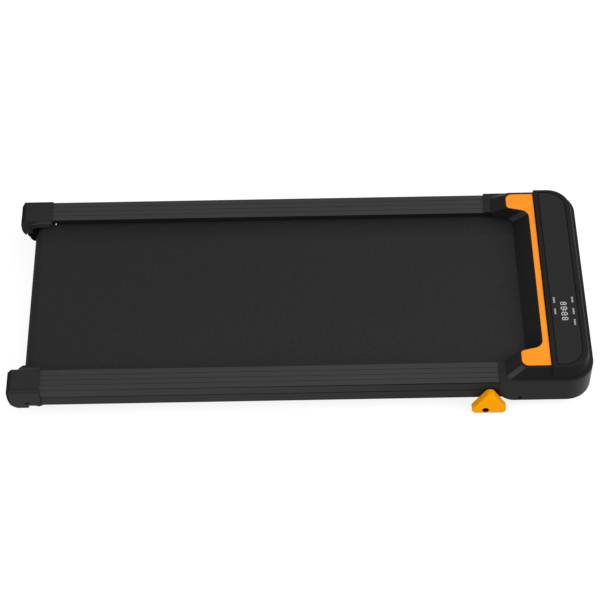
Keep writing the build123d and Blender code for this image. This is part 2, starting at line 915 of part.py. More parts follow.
def hood_base():
    """Skirt, ledge and rail tabs of the hood in one moulding, open above and below."""
    body = upward(hood_plan(0, hood_rear_x), hood_bottom, sleeve_top)
    hollow = upward(
        hood_plan(sleeve_wall, hood_rear_x), hood_bottom, rail_top + fit_gap
    )
    opening = upward(
        hood_plan(hood_ledge_inner, arm_rear_x + hood_wall), rail_top, sleeve_top
    )
    half = rail_inner - fit_gap
    belt_way = block(hood_rear_x, arm_rear_x + hood_wall, -half, half, hood_bottom, sleeve_top)
    sweep = outline(
        (hood_rear_x, hood_bottom), (hood_rear_x + hood_sweep, hood_bottom),
        (hood_rear_x, hood_bottom + hood_sweep),
    ) - Pos(hood_rear_x + hood_sweep, hood_bottom + hood_sweep) * Circle(hood_sweep)
    base = body - hollow - opening - belt_way
    base = base - across(sweep, -sleeve_outer, sleeve_outer)
    for side in (-1, 1):
        wall = side * (sleeve_outer - sleeve_wall)
        boss = rod_y(wheel_boss_radius, wheel_x, wheel_z, wall, side * (wheel_outer_y + fit_gap))
        hole = rod_y(
            wheel_pin_radius + running_gap, wheel_x, wheel_z,
            side * sleeve_outer, side * wheel_outer_y,
        )
        trimmed = boss & block(
            wheel_x - hood_sweep, wheel_x + hood_sweep, -sleeve_outer, sleeve_outer, hood_bottom, rail_top
        )
        base = base + trimmed - hole
    for y, width, height in ((inlet_y, inlet_width, inlet_height), (switch_y, switch_width, switch_height)):
        base = base - power_opening(y, width, height)
    return base


def power_opening(y, width, height):
    """Cut-out in the front wall for a power fitting."""
    return block(
        front_x - sleeve_wall, front_x, y - width / 2, y + width / 2,
        power_z - height / 2, power_z + height / 2,
    )


def recess_cut(wall):
    """Walking space between the hood's arms, widened by a wall thickness."""
    run = recess_slope_run
    rise = rear_cover_top - belt_top
    slope_x = front_x - recess_slope_inset
    shift = wall * sqrt(run ** 2 + rise ** 2) / rise
    low = belt_top - rise
    high = rear_cover_top + rise
    back = hood_rear_x - hood_length
    profile = outline(
        (back, low),
        (slope_x - run + shift, low),
        (slope_x + run + shift, rear_cover_top),
        (slope_x + 2 * run + shift, high),
        (back, high),
    )
    flare = tan(radians(recess_flare))
    half = rail_inner + wall / cos(radians(recess_flare))
    reach = front_x - hood_rear_x
    narrow = half - reach * flare
    wide = half + hood_length * flare
    plan = outline((back, -wide), (front_x, -narrow), (front_x, narrow), (back, wide))
    space = across(profile, -sleeve_outer, sleeve_outer) & upward(plan, low, high)
    corners = [
        edge for edge in space.edges()
        if abs((edge @ 0).Z - (edge @ 1).Z) > rise / 2 and (edge @ 0.5).X > slope_x
        and abs((edge @ 0.5).Y) > fit_gap and abs((edge @ 0).X - (edge @ 1).X) > fit_gap
    ]
    return fillet(corners, recess_fillet - wall)


def cover_block(x0, x1, inset, top, lean, rear_run, front_run, corner_rear, corner_front):
    """Leaning block of a hood cover between the ledge and its top, drawn in by a wall thickness."""
    def level(rear, front, half, rear_round, front_round):
        plan = outline((rear, -half), (front, -half), (front, half), (rear, half))
        if rear_round:
            plan = fillet(plan.vertices().group_by(Axis.X)[0], rear_round)
        if front_round:
            plan = fillet(plan.vertices().group_by(Axis.X)[-1], front_round)
        return plan

    low_half = cover_half - inset
    high_half = low_half - lean
    bottom = level(x0, x1, low_half, corner_rear, corner_front)
    upper = level(x0 + rear_run, x1 - front_run, high_half, corner_rear, corner_front)
    return loft([Plane.XY.offset(sleeve_top) * bottom, Plane.XY.offset(top) * upper], ruled=True)


def hood_rear_cover():
    """Rear cover: two sloped arms, the 45 degree face above the belt and the bed of the trim."""
    outer = cover_block(
        arm_rear_x, seam_x, 0, rear_cover_top, rear_cover_lean, arm_slope_run, 0, arm_corner, 0
    )
    edges = outer.faces().sort_by(Axis.Z)[-1].edges().filter_by(Axis.X)
    outer = fillet(edges, cover_edge_round)
    inner = cover_block(
        arm_rear_x + hood_wall, seam_x, hood_wall, rear_cover_top - cover_top_wall,
        rear_cover_lean, arm_slope_run, 0, arm_corner - hood_wall, 0,
    )
    shell = outer - inner - recess_cut(0)
    curtain = recess_cut(hood_wall) - recess_cut(0)
    above = curtain & outer
    low = belt_top + recess_belt_gap
    below = curtain & block(
        rail_front_x + fit_gap, seam_x, -rail_inner, rail_inner, low, sleeve_top
    )
    cover = shell + above + below
    return cover - upward(trim_outline(0), rear_cover_top - trim_depth, rear_cover_top + trim_depth)


def trim_outline(inset):
    """C-shaped plan of the trim: a strip across the hood with an arm down each side."""
    margin = trim_margin + inset
    flare = tan(radians(recess_flare))
    front = seam_x - margin
    outer_y = cover_half - rear_cover_lean - trim_side_margin - inset
    strip_x = front - trim_strip + 2 * inset
    rear = arm_rear_x + arm_slope_run + margin
    half = rail_inner + margin / cos(radians(recess_flare))
    rear_y = half - (rear - hood_rear_x) * flare
    strip_y = half - (strip_x - hood_rear_x) * flare
    plan = outline(
        (rear, outer_y), (front, outer_y), (front, -outer_y), (rear, -outer_y),
        (rear, -rear_y), (strip_x, -strip_y), (strip_x, strip_y), (rear, rear_y),
    )
    for y, radius in ((outer_y, trim_outer_round), (rear_y, trim_inner_round)):
        tips = [plan.vertices().sort_by_distance((rear, side * y))[0] for side in (-1, 1)]
        plan = fillet(tips, radius - inset)
    crook = [vertex for vertex in plan.vertices() if abs(vertex.X - strip_x) < fit_gap]
    return fillet(crook, trim_crook_round + inset)


def hood_trim():
    """Orange trim, let into the rear cover and standing slightly proud."""
    low = rear_cover_top - trim_depth
    plate = upward(trim_outline(seat_gap), low, low + trim_thickness)
    top = plate.faces().sort_by(Axis.Z)[-1]
    return fillet(top.edges(), (trim_thickness - trim_depth) / 2)


def panel_outline(inset):
    """Plan of the console panel, with front corners that follow the hood."""
    rear = seam_x + panel_rear_margin + inset
    front = front_x - hood_ledge - front_lean - panel_front_margin - inset
    half = cover_half - front_cover_lean - panel_side_margin - inset
    plan = outline((rear, -half), (front, -half), (front, half), (rear, half))
    return fillet(plan.vertices().group_by(Axis.X)[-1], panel_corner - inset)


def display_window():
    """Opening under the console panel for the display."""
    return block(
        window_front_x - window_length, window_front_x,
        window_y - window_width / 2, window_y + window_width / 2,
        front_cover_top - cover_top_wall, front_cover_top,
    )


def hood_front_cover():
    """Front cover with rounded corners, a rounded top edge and the bed of the console panel."""
    front = front_x - hood_ledge
    corner = hood_corner - hood_ledge
    outer = cover_block(
        seam_x + fit_gap, front, 0, front_cover_top, front_cover_lean, 0, front_lean, 0, corner
    )
    top_edges = outer.faces().sort_by(Axis.Z)[-1].edges()
    rounded = [edge for edge in top_edges if (edge @ 0.5).X > seam_x + cover_edge_round]
    outer = fillet(rounded, cover_edge_round)
    inner = cover_block(
        seam_x, front - hood_wall, hood_wall, front_cover_top - cover_top_wall,
        front_cover_lean, 0, front_lean, 0, corner - hood_wall,
    )
    bed = upward(panel_outline(0), front_cover_top - panel_depth, front_cover_top + panel_depth)
    return outer - inner - bed - display_window()


def console_panel():
    """Smooth console panel over the display."""
    low = front_cover_top - panel_depth
    return upward(panel_outline(panel_groove), low, low + panel_thickness)


def display_board():
    """Display circuit board under the window, with its light block."""
    x0 = window_front_x - window_length
    x1 = window_front_x
    y0 = window_y - window_width / 2
    y1 = window_y + window_width / 2
    top = front_cover_top - cover_top_wall
    rim = window_board_margin
    board = block(x0 - rim, x1 + rim, y0 - rim, y1 + rim, top - board_thickness, top)
    light = block(
        x0 + fit_gap, x1 - fit_gap, y0 + fit_gap, y1 - fit_gap, top, front_cover_top - panel_depth
    )
    return board + light


def pan_screw_places():
    """Positions of the pan's posts below the motor plate."""
    x0 = motor_plate_rear + 2 * pan_post_radius
    x1 = motor_plate_front - 2 * pan_post_radius
    y = motor_plate_half - 2 * pan_post_radius
    return [(x, side) for x in (x0, x1) for side in (-y, y)]


def bottom_pan():
    """Vented bottom pan inside the skirt, with posts up to the motor plate."""
    rear = front_x - pan_rear_inset
    low = hood_bottom
    top = low + pan_thickness
    pan = upward(hood_plan(sleeve_wall + fit_gap, rear), low, top)
    post_top = motor_plate_bottom
    for x, y in pan_screw_places():
        pan = pan + rod_z(pan_post_radius, x, y, top, post_top)
    for x, y in pan_screw_places():
        pan = pan - rod_z(pan_screw_radius + fit_gap, x, y, low, post_top)
    vent = upward(SlotOverall(vent_length, vent_width), low, top)
    for i in range(vent_count):
        y = vent_pitch * (i - (vent_count - 1) / 2)
        pan = pan - Pos(motor_x, y, 0) * vent
    return pan


def pan_screws():
    """Screws from below through the pan posts into the motor plate."""
    screws = []
    for x, y in pan_screw_places():
        shank = rod_z(pan_screw_radius, x, y, hood_bottom, tube_bottom)
        head = rod_z(2 * pan_screw_radius, x, y, hood_bottom - pan_screw_radius, hood_bottom)
        screws.append(shank + head)
    return group(screws)


def transport_wheel():
    """Left transport wheel with a rounded tread."""
    inner_y = wheel_outer_y - wheel_width
    wheel = rod_y(wheel_radius, wheel_x, wheel_z, inner_y, wheel_outer_y)
    wheel = fillet(wheel.edges(), wheel_width / 5)
    return wheel - rod_y(wheel_pin_radius + running_gap, wheel_x, wheel_z, inner_y, wheel_outer_y)


def wheel_pins():
    """Headed pins that carry the transport wheels."""
    pin = rod_y(wheel_pin_radius, wheel_x, wheel_z, bracket_inner, sleeve_outer - wheel_pin_recess)
    head = rod_y(2 * wheel_pin_radius, wheel_x, wheel_z, bracket_inner - wheel_pin_radius, bracket_inner)
    return both(pin + head)


def rear_feet():
    """Flared rubber feet under the tabs of the rear brackets."""
    foot = Pos(rear_foot_x, rear_foot_y, rear_foot_top / 2) * Cone(
        rear_foot_radius + rear_foot_flare, rear_foot_radius - rear_foot_flare, rear_foot_top
    )
    return both(foot)


def foot_outline():
    """Rounded three-sided outline of an incline foot, standing on Z = 0."""
    half = foot_corner_spacing / 2
    rise = foot_corner_spacing * sqrt(3) / 2
    corners = [(foot_x - half, 0), (foot_x + half, 0), (foot_x, rise)]
    circles = [Pos(x, z + foot_corner_radius) * Circle(foot_corner_radius) for x, z in corners]
    return make_hull([edge for circle in circles for edge in circle.edges()])


def incline_foot():
    """Left incline foot: rounded body with a recessed pivot hole off its centre."""
    foot = across(foot_outline(), foot_inner_y, foot_outer_y)
    foot = fillet(foot.faces().sort_by(Axis.Y)[-1].edges(), foot_edge_round)
    hole = rod_y(pivot_radius + running_gap, pivot_x, pivot_z, foot_inner_y, foot_outer_y)
    recess = rod_y(pivot_recess_radius, pivot_x, pivot_z, foot_outer_y - pivot_recess_depth, foot_outer_y)
    return foot - hole - recess


def foot_bracket():
    """Left pivot plate of the incline foot, welded under the side tube, with a spacer boss."""
    inner_y = tube_outer - foot_bracket_thickness
    half = foot_bracket_width / 2
    eye = Pos(pivot_x, pivot_z) * Circle(foot_hub_radius)
    root = outline(
        (pivot_x - half, tube_bottom), (pivot_x + half, tube_bottom),
        (pivot_x + foot_hub_radius, pivot_z), (pivot_x - foot_hub_radius, pivot_z),
    )
    plate = across(eye + root, inner_y, tube_outer)
    flange = block(
        pivot_x - half, pivot_x + half, tube_inner, inner_y,
        tube_bottom - foot_bracket_thickness / 2, tube_bottom,
    )
    boss_y = foot_inner_y - fit_gap
    boss = rod_y(foot_hub_radius, pivot_x, pivot_z, tube_outer, boss_y)
    return plate + flange + boss - rod_y(pivot_radius + seat_gap, pivot_x, pivot_z, inner_y, boss_y)


def pivot_bolts():
    """Shoulder bolts of the incline feet, heads recessed in the feet."""
    seat = foot_outer_y - pivot_recess_depth + fit_gap
    inner = tube_outer - foot_bracket_thickness - pivot_nut_height
    shank = rod_y(pivot_radius, pivot_x, pivot_z, inner, seat)
    head = rod_y(pivot_head_radius, pivot_x, pivot_z, seat, seat + pivot_head_length)
    socket = Plane.XZ.offset(-(seat + pivot_head_length)) * Pos(pivot_x, pivot_z) * RegularPolygon(
        pivot_head_radius / 2, 6)
    return both(shank + head - extrude(socket, amount=pivot_head_length / 2, dir=(0, -1, 0)))


def pivot_nuts():
    """Hexagon nuts on the pivot bolts, behind the brackets."""
    outer = tube_outer - foot_bracket_thickness
    hexagon = Pos(pivot_x, pivot_z) * RegularPolygon(2 * pivot_radius, 6)
    nut = across(hexagon, outer - pivot_nut_height, outer)
    return both(nut - rod_y(pivot_radius + seat_gap, pivot_x, pivot_z, outer - pivot_nut_height, outer))


def board_corners():
    """Standoff positions of the control board."""
    x = board_length / 2 - standoff_radius
    y = board_width / 2 - standoff_radius
    return [(board_x + sx * x, board_y + sy * y) for sx in (-1, 1) for sy in (-1, 1)]


def control_board():
    """Motor control circuit board."""
    low = tube_bottom + board_lift
    return block(
        board_x - board_length / 2, board_x + board_length / 2,
        board_y - board_width / 2, board_y + board_width / 2, low, low + board_thickness,
    )


def board_standoffs():
    """Posts that carry the control board on the motor plate."""
    return group([rod_z(standoff_radius, x, y, tube_bottom, tube_bottom + board_lift)
                  for x, y in board_corners()])


def control_heatsink():
    """Finned heat sink in the middle of the control board."""
    length = board_width / 2
    x0 = board_x - heatsink_depth / 2
    x1 = board_x + heatsink_depth / 2
    y0 = board_y - length / 2
    sink = block(x0, x1, y0, y0 + length, board_top, board_top + heatsink_foot)
    pitch = (length - heatsink_fin) / (heatsink_fins - 1)
    for i in range(heatsink_fins):
        y = y0 + pitch * i
        sink = sink + block(x0, x1, y, y + heatsink_fin, board_top, board_top + heatsink_height)
    return sink


def control_capacitors():
    """Round capacitors, one at each end of the heat sink."""
    reach = board_width / 2 - capacitor_radius - 2 * standoff_radius
    return group([
        rod_z(capacitor_radius, board_x, board_y + side * reach, board_top, board_top + capacitor_height)
        for side in (-1, 1)
    ])


def power_inlet():
    """Mains inlet: flange on the front wall and a socket behind it."""
    width = inlet_width - 2 * fit_gap
    height = inlet_height - 2 * fit_gap
    back = front_x - inlet_depth
    body = block(
        back, front_x, inlet_y - width / 2, inlet_y + width / 2,
        power_z - height / 2, power_z + height / 2,
    )
    rim = inlet_flange
    flange = block(
        front_x - sleeve_wall - rim / 2, front_x - sleeve_wall,
        inlet_y - width / 2 - rim, inlet_y + width / 2 + rim,
        power_z - height / 2 - rim, power_z + height / 2 + rim,
    )
    socket = block(
        back + rim, front_x, inlet_y - width / 2 + rim / 2, inlet_y + width / 2 - rim / 2,
        power_z - height / 2 + rim / 2, power_z + height / 2 - rim / 2,
    )
    edges = socket.edges().filter_by(Axis.X).group_by(Axis.Z)[-1]
    return body + flange - chamfer(edges, inlet_flange)


def inlet_pins():
    """Three contact blades inside the inlet, the middle one higher."""
    back = front_x - inlet_depth + inlet_flange
    lift = blade_height / 2
    blades = []
    for step in (-1, 0, 1):
        y = inlet_y + step * blade_pitch
        z = power_z + lift / 2 - abs(step) * lift
        blades.append(block(
            back, back + blade_length, y - blade_thickness / 2, y + blade_thickness / 2,
            z - blade_height / 2, z + blade_height / 2,
        ))
    return group(blades)


def switch_frame():
    """Open frame of the rocker switch, set in the front wall."""
    width = switch_width - 2 * fit_gap
    height = switch_height - 2 * fit_gap
    back = front_x - switch_depth
    rim = inlet_flange
    body = block(
        back, front_x, switch_y - width / 2, switch_y + width / 2,
        power_z - height / 2, power_z + height / 2,
    )
    flange = block(
        front_x - sleeve_wall - rim / 2, front_x - sleeve_wall,
        switch_y - width / 2 - rim, switch_y + width / 2 + rim,
        power_z - height / 2 - rim, power_z + height / 2 + rim,
    )
    well = block(
        back + rim, front_x, switch_y - width / 2 + rim / 2, switch_y + width / 2 - rim / 2,
        power_z - height / 2 + rim / 2, power_z + height / 2 - rim / 2,
    )
    return body + flange - well


def power_rocker():
    """Rocker of the power switch, shown pressed at its lower end."""
    half_width = switch_width / 2 - inlet_flange / 2 - rocker_side_gap
    half_height = switch_height / 2 - inlet_flange / 2 - rocker_end_gap
    place = Pos(rocker_pivot_x, power_z) * Rot(0, 0, -rocker_tilt)
    face = outline(
        (-rocker_depth / 2, 0), (-rocker_depth / 4, -half_height), (rocker_depth / 2, -half_height),
        (rocker_depth / 4, 0), (rocker_depth / 2, half_height), (-rocker_depth / 4, half_height),
    )
    return across(place * face, switch_y - half_width, switch_y + half_width)


left_and_right = {
    "frame_side_tube": side_tube,
    "rear_axle_bracket": rear_bracket,
    "front_axle_bracket": front_bracket,
    "incline_bracket": foot_bracket,
    "side_rail": side_rail,
    "end_cap": end_cap,
    "tension_bolt": tension_bolt,
    "incline_foot": incline_foot,
    "transport_wheel": transport_wheel,
}

single_pieces = {
    "frame_cross_members": cross_members,
    "deck_board": deck_board,
    "deck_cushions": deck_cushions,
    "deck_screws": deck_screws,
    "walking_belt": walking_belt,
    "end_cap_screws": cap_screws,
    "rear_feet": rear_feet,
    "rear_axle": rear_axle,
    "front_axle": front_axle,
    "front_roller_pulley": roller_pulley,
    "motor_pulley": motor_pulley,
    "drive_belt": drive_belt,
    "motor_can": motor_can,
    "motor_end_bells": motor_end_bells,
    "motor_bearings": motor_bearings,
    "motor_shaft": motor_shaft,
    "motor_plate": motor_plate,
    "motor_saddles": motor_saddles,
    "motor_bolts": motor_bolts,
    "hood_base": hood_base,
    "hood_rear_cover": hood_rear_cover,
    "hood_front_cover": hood_front_cover,
    "hood_trim": hood_trim,
    "console_panel": console_panel,
    "display_board": display_board,
    "bottom_pan": bottom_pan,
    "pan_screws": pan_screws,
    "wheel_pins": wheel_pins,
    "incline_pivot_bolts": pivot_bolts,
    "incline_pivot_nuts": pivot_nuts,
    "control_board": control_board,
    "board_standoffs": board_standoffs,
    "control_heatsink": control_heatsink,
    "control_capacitors": control_capacitors,
    "power_inlet": power_inlet,
    "inlet_pins": inlet_pins,
    "power_switch_frame": switch_frame,
    "power_rocker": power_rocker,
}


def nodes():
    """Every named piece of the treadmill."""
    pieces = {}
    for name, make in left_and_right.items():
        left = make()
        pieces[name + "_left"] = left
        pieces[name + "_right"] = right_hand(left)
    for name, make in single_pieces.items():
        pieces[name] = make()
    for name, x in (("front", front_roller_x), ("rear", rear_roller_x)):
        pieces[name + "_roller"] = roller(x)
        pieces[name + "_roller_bearings"] = roller_bearings(x)
    return pieces


os.makedirs("parts", exist_ok=True)
for node, shape in nodes().items():
    export_step(shape, os.path.join("parts", node + ".step"))
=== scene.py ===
"""Looks of the flat walking treadmill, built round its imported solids.

Metres, +X towards the motor hood, +Y to the walker's left, +Z up, floor at Z = 0.
"""
import math

import bmesh
import bpy
from mathutils import Matrix, Vector


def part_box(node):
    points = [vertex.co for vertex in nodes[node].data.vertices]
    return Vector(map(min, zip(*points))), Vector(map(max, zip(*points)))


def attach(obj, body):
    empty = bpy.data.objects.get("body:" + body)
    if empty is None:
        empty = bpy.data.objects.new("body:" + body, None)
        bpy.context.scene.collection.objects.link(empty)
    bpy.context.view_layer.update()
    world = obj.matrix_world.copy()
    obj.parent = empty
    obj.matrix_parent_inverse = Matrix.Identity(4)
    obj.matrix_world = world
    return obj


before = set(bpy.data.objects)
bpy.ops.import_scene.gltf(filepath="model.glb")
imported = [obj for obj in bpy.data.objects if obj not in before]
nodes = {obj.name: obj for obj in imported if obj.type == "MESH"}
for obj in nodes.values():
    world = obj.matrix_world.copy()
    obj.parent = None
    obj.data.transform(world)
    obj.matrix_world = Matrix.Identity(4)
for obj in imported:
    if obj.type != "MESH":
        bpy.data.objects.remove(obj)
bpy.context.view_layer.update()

# Camera, fitted to the photograph's straight edges: degrees, metres, lens and sensor in millimetres
CAMERA_AZIMUTH = -0.07
CAMERA_ELEVATION = 52.42
CAMERA_ROLL = 0.97
CAMERA_DISTANCE = 4.199
CAMERA_AIM = Vector((-0.00125, 0.0, 0.084))
CAMERA_SIDE = 0.0041
CAMERA_RISE = -0.0237
CAMERA_LENS = 119.32
SENSOR_WIDTH = 36.0

# Sky, brightest in the direction of its lean, and soft boxes with power in watts
SKY_LEAN = Vector((0.0, 0.55, 0.835))
HORIZON_LEVEL = 0.12
ZENITH_LEVEL = 1.05
LAMPS = {
    "key": {"place": (2.6, -0.6, 2.0), "aim": (0.2, 0.0, 0.05), "size": 2.0, "power": 60},
    "fill": {"place": (-1.0, -1.7, 0.6), "aim": (-0.4, 0.0, 0.05), "size": 0.8, "power": 10},
    "foot_fill": {"place": (-0.1, -1.0, 0.2), "aim": (0.385, -0.26, 0.02), "size": 0.3, "power": 2.3},
}

# Floor, a hair below the feet
FLOOR_SIZE = 30.0
FLOOR_DROP = 0.0004
FLOOR_COLOUR = 0.7
FLOOR_SHOWN_DIFFUSE = 0.25
FLOOR_SHOWN_GLOW = 0.84

# Soft edges of the solids
EDGE_ANGLE = math.radians(32)
EDGE_SEGMENTS = 2
EDGE_WIDTHS = {
    "hood_base": 0.0012,
    "hood_rear_cover": 0.0012,
    "hood_front_cover": 0.0010,
    "end_cap_left": 0.0008,
    "end_cap_right": 0.0008,
    "incline_foot_left": 0.0009,
    "incline_foot_right": 0.0009,
    "console_panel": 0.0004,
    "power_inlet": 0.0004,
    "power_switch_frame": 0.0004,
    "power_rocker": 0.0004,
    "bottom_pan": 0.0004,
}

# Grey materials, as display levels between 0 and 255
BELT_GREY = 44
RAIL_GREY = 58
COVER_GREY = 34
SKIRT_GREY = 29
CAP_GREY = 45
CONSOLE_GREY = 27
PAN_GREY = 34
RUBBER_GREY = 24
DRIVE_BELT_GREY = 36
DECK_GREY = 28
PAINT_GREY = 42
BLACK_STEEL_GREY = 26
PULLEY_GREY = 40
NYLON_GREY = 70

# Other materials, as linear colours
FOOT_ORANGE = (1.0, 0.37, 0.0)
TRIM_ORANGE = (1.0, 0.285, 0.013)
ROCKER_RED = (0.4, 0.012, 0.01)
BOARD_GREEN = (0.012, 0.085, 0.03)
ZINC_STEEL = (0.55, 0.55, 0.56)
TURNED_STEEL = (0.48, 0.48, 0.49)
CAST_ALUMINIUM = (0.5, 0.5, 0.51)
PIN_BRASS = (0.72, 0.5, 0.22)
DIGIT_WHITE = (0.60, 0.62, 0.63)
MARK_WHITE = (0.36, 0.37, 0.37)

# Textures: the part of a noise's range in use, and the wave texture's scale for one band per metre
NOISE_START = 0.3
NOISE_STOP = 0.7
WAVE_SCALE = math.pi / 10

# In the zones below, a level is a factor on the colour, and a facing is a limit of one component of the
# surface's direction

# Painted shade on the rails: on the outer side, its lower band and its joint lines, each with a level at the
# rear and at the front end, and on the inner wall
RAIL_ENDS_X = (-0.5, 0.2)
RAIL_SIDE_Y = 0.2488
RAIL_EDGE_Z = 0.0838
RAIL_SIDE_SHADE_LEVELS = (0.86, 0.44)
RAIL_BAND_Z = 0.058
RAIL_BAND_SHADE_LEVELS = (0.7, 0.92)
RAIL_LINE_SHADE_LEVELS = {0.082: (0.8, 0.1), 0.058: (0.55, 0.3), 0.0325: (0.45, 0.3)}
RAIL_LINE_HALF = 0.0013
RAIL_INNER_Y = 0.2003
RAIL_INNER_SHADE_LEVEL = 0.28

# Shade on the belt beside the left rail
BELT_SHADE_Y = (0.14, 0.2)
BELT_SHADE_LEVEL = 0.62

# Painted light and shade on the end caps: painted shade inside the arch, on the canopy, on the rear slope,
# along the outer edges and in the slot, painted light on the outer side and a painted highlight on the
# canopy's ridge
ARCH_CENTRE_X = -0.5562
ARCH_CENTRE_Z = 0.0512
ARCH_RADIUS = 0.0263
CAP_WALL_Y = 0.1973
ARCH_SHADE_LEVEL = 0.2
CANOPY_SHADE_LEVEL = 0.72
CANOPY_FACING = 0.35
CANOPY_EDGE_Y = (0.1920, 0.1950)
CANOPY_EDGE_Z = 0.077
CANOPY_EDGE_HIGHLIGHT_LEVEL = 1.45
CAP_REAR_FACING = -0.6
CAP_REAR_SHADE_LEVEL = 0.85
CAP_SIDE_Y = 0.2545
CAP_SIDE_LIGHT_LEVEL = 1.2
CAP_TOP_Z = 0.0848
CAP_OUTER_EDGE_Y = (0.2480, 0.2502)
CAP_LOWER_EDGE_Z = (0.0797, 0.0820)
CAP_EDGE_SHADE_LEVEL = 0.68
CAP_SLOT_X = (-0.5650, -0.5552)
CAP_SLOT_Z = (0.0428, 0.0472)
CAP_SLOT_Y = 0.2548

# Thin lower end of the canopies, and how far it is drawn towards the wall
CANOPY_HORN_X = -0.5855
CANOPY_HORN_Z = 0.045
CANOPY_REACH = 0.012

# Round holes with painted shade inside: centre in X and Z, radius and the face they sink from
PIN_HOLE = (0.45075, 0.0315, 0.0050, 0.2522)
BOLT_HOLE = (0.38015, 0.0127, 0.0073, 0.2692)
HOLE_SHADE_LEVEL = 0.04

# Painted highlight on the rounded corners of the hood's slopes: how far they turn from either slope
CORNER_START = 0.27
CORNER_STOP = 0.37
CORNER_STEEPNESS = 0.12
CORNER_HIGHLIGHT_LEVEL = 2.6

# Painted shade makes the covers' upright outer sides darker than their slopes, painted light makes the
# skirt's flat top lighter than its wall
UPRIGHT_FACING = 0.6
UPRIGHT_Y = 0.215
UPRIGHT_SHADE_LEVEL = 0.78
FLAT_FACING = 0.7
SKIRT_TOP_LIGHT_LEVEL = 1.5

# Display: seven-segment digits and the marks beside them, read along -Y with their tops towards +X
DIGIT_X = 0.5492
DIGIT_Y = (-0.0742, -0.0867, -0.1014, -0.1136)
DIGIT_HEIGHT = 0.0128
DIGIT_WIDTH = 0.0075
DIGIT_STROKE = 0.0013
DIGIT_JOIN_GAP = 0.0003
DIGIT_GLOW = 0.12
COLON_Y = -0.0940
COLON_RISE = DIGIT_HEIGHT / 5
COLON_DOT = 0.0022
MARK_COLUMNS = {0.5304: (-0.0649, -0.0945), 0.5684: (-0.0647, -0.0946, -0.1231)}
MARK_LENGTH = 0.0145
MARK_HEIGHT = 0.0037
MARK_TICKS = 4
MARK_TICK_GAP = 0.0011
MARK_GLOW = 0.03
PRINT_THICKNESS = 0.0001


def srgb(level):
    """Linear value of a display level between 0 and 255."""
    share = level / 255
    return share / 12.92 if share <= 0.04045 else ((share + 0.055) / 1.055) ** 2.4


def grey(level):
    """Linear grey colour of a display level."""
    return (srgb(level),) * 3


def even(count):
    """The same count per metre along each axis."""
    return (count,) * 3


